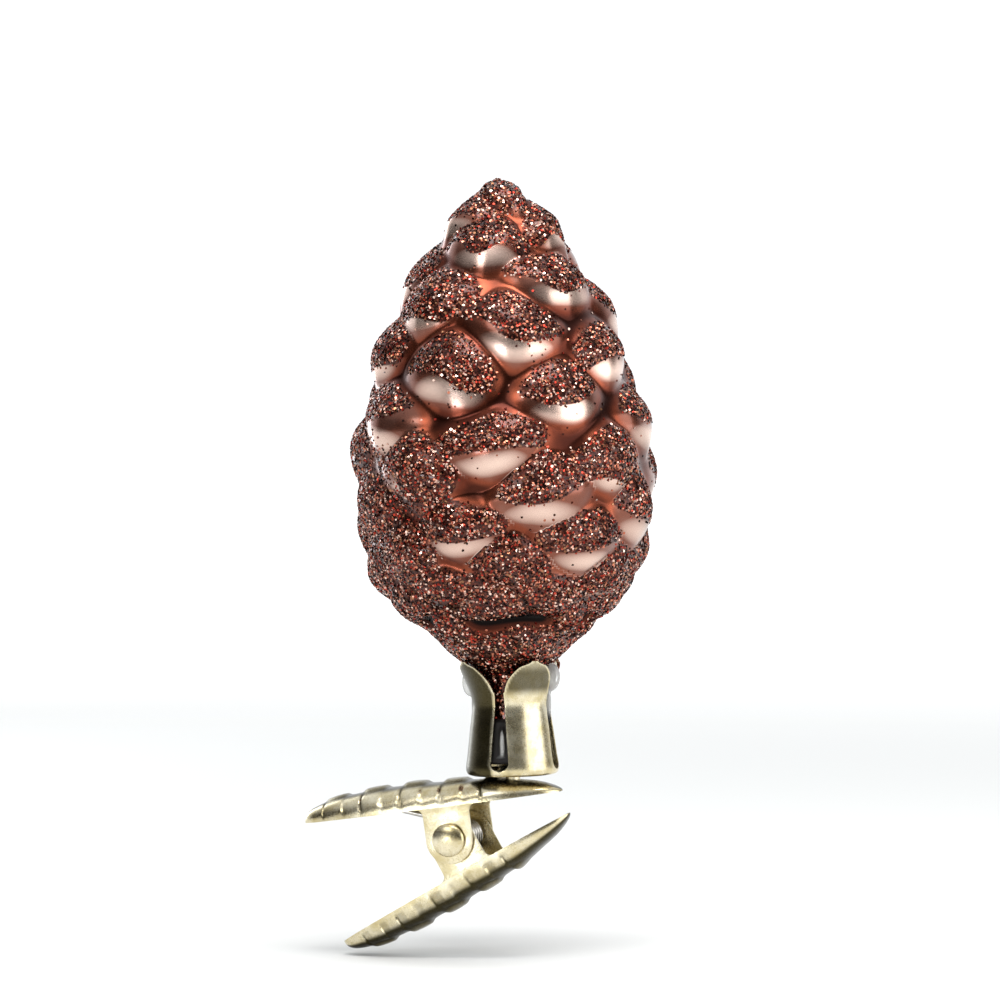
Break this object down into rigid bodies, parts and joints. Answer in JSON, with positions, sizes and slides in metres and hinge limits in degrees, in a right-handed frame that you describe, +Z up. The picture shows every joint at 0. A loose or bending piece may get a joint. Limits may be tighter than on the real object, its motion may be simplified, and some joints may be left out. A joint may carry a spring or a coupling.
{
  "type": "pine cone christmas ornament on a sprung clip",
  "caption": "Hollow glass pine cone with raised scales and glitter, glued in a pronged cup on a stamped, sprung clip that grips a branch.",
  "frame": {"origin": "middle of the bite, where the branch lies between the two jaws", "axes": "+Z up along the cone, +Y along the rivet that the jaws turn on, +X from the handles to the noses of the jaws"},
  "size_m": [0.0595, 0.0494, 0.1278],
  "materials": {
    "lacquered_glass": "satin metallic copper-brown lacquer with glitter on the scales",
    "hot_melt_glue": "clear hot-melt glue",
    "champagne_brass": "pale brass plating on stamped sheet",
    "spring_steel": "bright wire"
  },
  "bodies": {
    "holder": {"upper_jaw": "champagne_brass", "holder_cup": "champagne_brass", "cup_rivet": "champagne_brass", "glue": "hot_melt_glue", "glass_cone": "lacquered_glass", "pivot_rivet": "champagne_brass", "spring": "spring_steel"},
    "lower_jaw": {"lower_jaw": "champagne_brass"}
  },
  "joints": [
    {"name": "jaw_pivot", "type": "hinge", "parent": "holder", "child": "lower_jaw", "pos_m": [-0.012, 0, -0.0041], "axis": [0, 1, 0], "range_deg": [0, 32], "stiffness_Nm_per_rad": 0.04, "springref_deg": -22.92, "deforming": ["spring"]}
  ]
}
